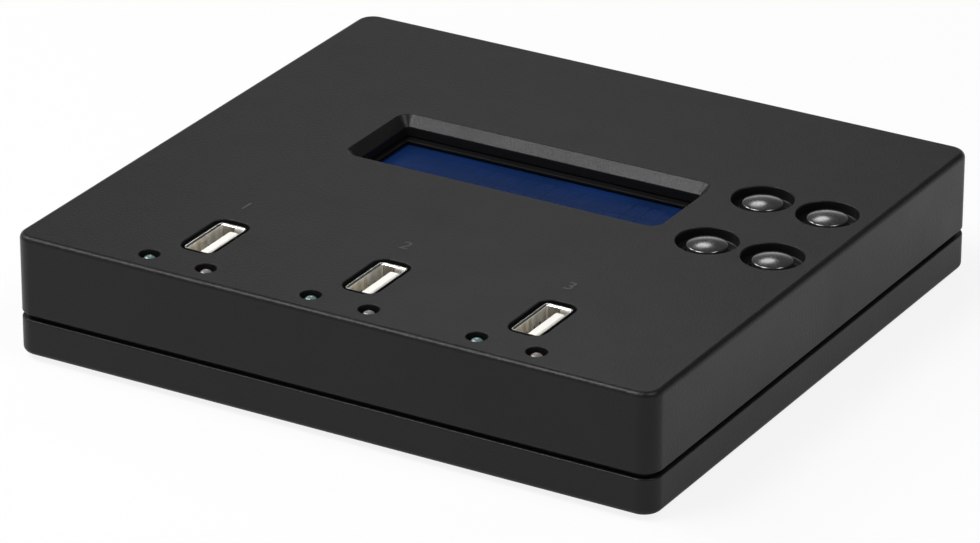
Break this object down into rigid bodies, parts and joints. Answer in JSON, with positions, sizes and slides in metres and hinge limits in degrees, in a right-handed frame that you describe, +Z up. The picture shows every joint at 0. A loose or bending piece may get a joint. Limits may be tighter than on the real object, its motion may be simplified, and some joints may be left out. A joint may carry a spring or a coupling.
{
  "type": "flash drive duplicator",
  "caption": "Flat desktop unit that copies flash drives: upright sockets with lamps, a recessed character display, round push keys, a power inlet and a rocker switch.",
  "frame": {"origin": "on the surface that the feet stand on, under the middle of the case", "axes": "+X to the right along the front edge, +Y from the front to the back, +Z up"},
  "size_m": [0.14, 0.13, 0.026],
  "materials": {
    "case_black": "finely textured black moulded plastic",
    "foot_rubber": "matt black rubber",
    "screw_steel": "zinc-plated steel",
    "shell_nickel": "nickel-plated sheet",
    "socket_white": "white moulded plastic with gold contacts",
    "board_green": "green solder resist over fibreglass",
    "display_black": "black painted steel",
    "display_blue": "dark blue display glass, unlit",
    "backlight_white": "milky light guide",
    "key_grey": "dark grey moulded plastic, half gloss",
    "moulded_black": "black moulded plastic",
    "plunger_brown": "brown moulded plastic",
    "lamp_green": "frosted resin with a green cast, unlit",
    "lamp_red": "frosted resin with a red cast, unlit",
    "chip_black": "black moulded package with tinned leads",
    "capacitor_sleeve": "dark shrink sleeve"
  },
  "bodies": {
    "root": {"top_cover": "case_black", "base_tray": "case_black", "foot_front_left": "foot_rubber", "foot_front_right": "foot_rubber", "foot_back_right": "foot_rubber", "foot_back_left": "foot_rubber", "case_screw_front_left": "screw_steel", "case_screw_front_right": "screw_steel", "case_screw_back_right": "screw_steel", "case_screw_back_left": "screw_steel", "board_screw_front_left": "screw_steel", "board_screw_front_right": "screw_steel", "board_screw_back_right": "screw_steel", "board_screw_back_left": "screw_steel", "display_screw_front_left": "screw_steel", "display_screw_front_right": "screw_steel", "display_screw_back_right": "screw_steel", "display_screw_back_left": "screw_steel", "key_board_screw_1": "screw_steel", "key_board_screw_2": "screw_steel", "main_board": "board_green", "display_board": "board_green", "key_board": "board_green", "display_frame": "display_black", "display_glass": "display_blue", "display_backlight": "backlight_white", "display_header": "moulded_black", "key_header": "moulded_black", "key_switch_1": "moulded_black", "key_switch_2": "moulded_black", "key_switch_3": "moulded_black", "key_switch_4": "moulded_black", "status_lamp_1a": "lamp_green", "status_lamp_1b": "lamp_red", "status_lamp_2a": "lamp_green", "status_lamp_2b": "lamp_red", "status_lamp_3a": "lamp_green", "status_lamp_3b": "lamp_red", "usb_shell_1": "shell_nickel", "usb_shell_2": "shell_nickel", "usb_shell_3": "shell_nickel", "usb_tongue_1": "socket_white", "usb_tongue_2": "socket_white", "usb_tongue_3": "socket_white", "power_inlet": "moulded_black", "inlet_pin": "shell_nickel", "power_switch_housing": "moulded_black", "controller_chip": "chip_black", "crystal_can": "screw_steel", "supply_capacitor": "capacitor_sleeve"},
    "key_1": {"key_cap_1": "key_grey", "key_plunger_1": "plunger_brown"},
    "key_2": {"key_cap_2": "key_grey", "key_plunger_2": "plunger_brown"},
    "key_3": {"key_cap_3": "key_grey", "key_plunger_3": "plunger_brown"},
    "key_4": {"key_cap_4": "key_grey", "key_plunger_4": "plunger_brown"},
    "rocker": {"power_rocker": "moulded_black"}
  },
  "joints": [
    {"name": "key_1_press", "type": "slide", "parent": "root", "child": "key_1", "axis": [0, 0, -1], "range_m": [0, 0.0005], "stiffness_N_per_m": 1500},
    {"name": "key_2_press", "type": "slide", "parent": "root", "child": "key_2", "axis": [0, 0, -1], "range_m": [0, 0.0005], "stiffness_N_per_m": 1500},
    {"name": "key_3_press", "type": "slide", "parent": "root", "child": "key_3", "axis": [0, 0, -1], "range_m": [0, 0.0005], "stiffness_N_per_m": 1500},
    {"name": "key_4_press", "type": "slide", "parent": "root", "child": "key_4", "axis": [0, 0, -1], "range_m": [0, 0.0005], "stiffness_N_per_m": 1500},
    {"name": "rocker_tilt", "type": "hinge", "parent": "root", "child": "rocker", "pos_m": [-0.022, 0.0596, 0.0173], "axis": [0, 0, 1], "range_deg": [0, 20]}
  ]
}
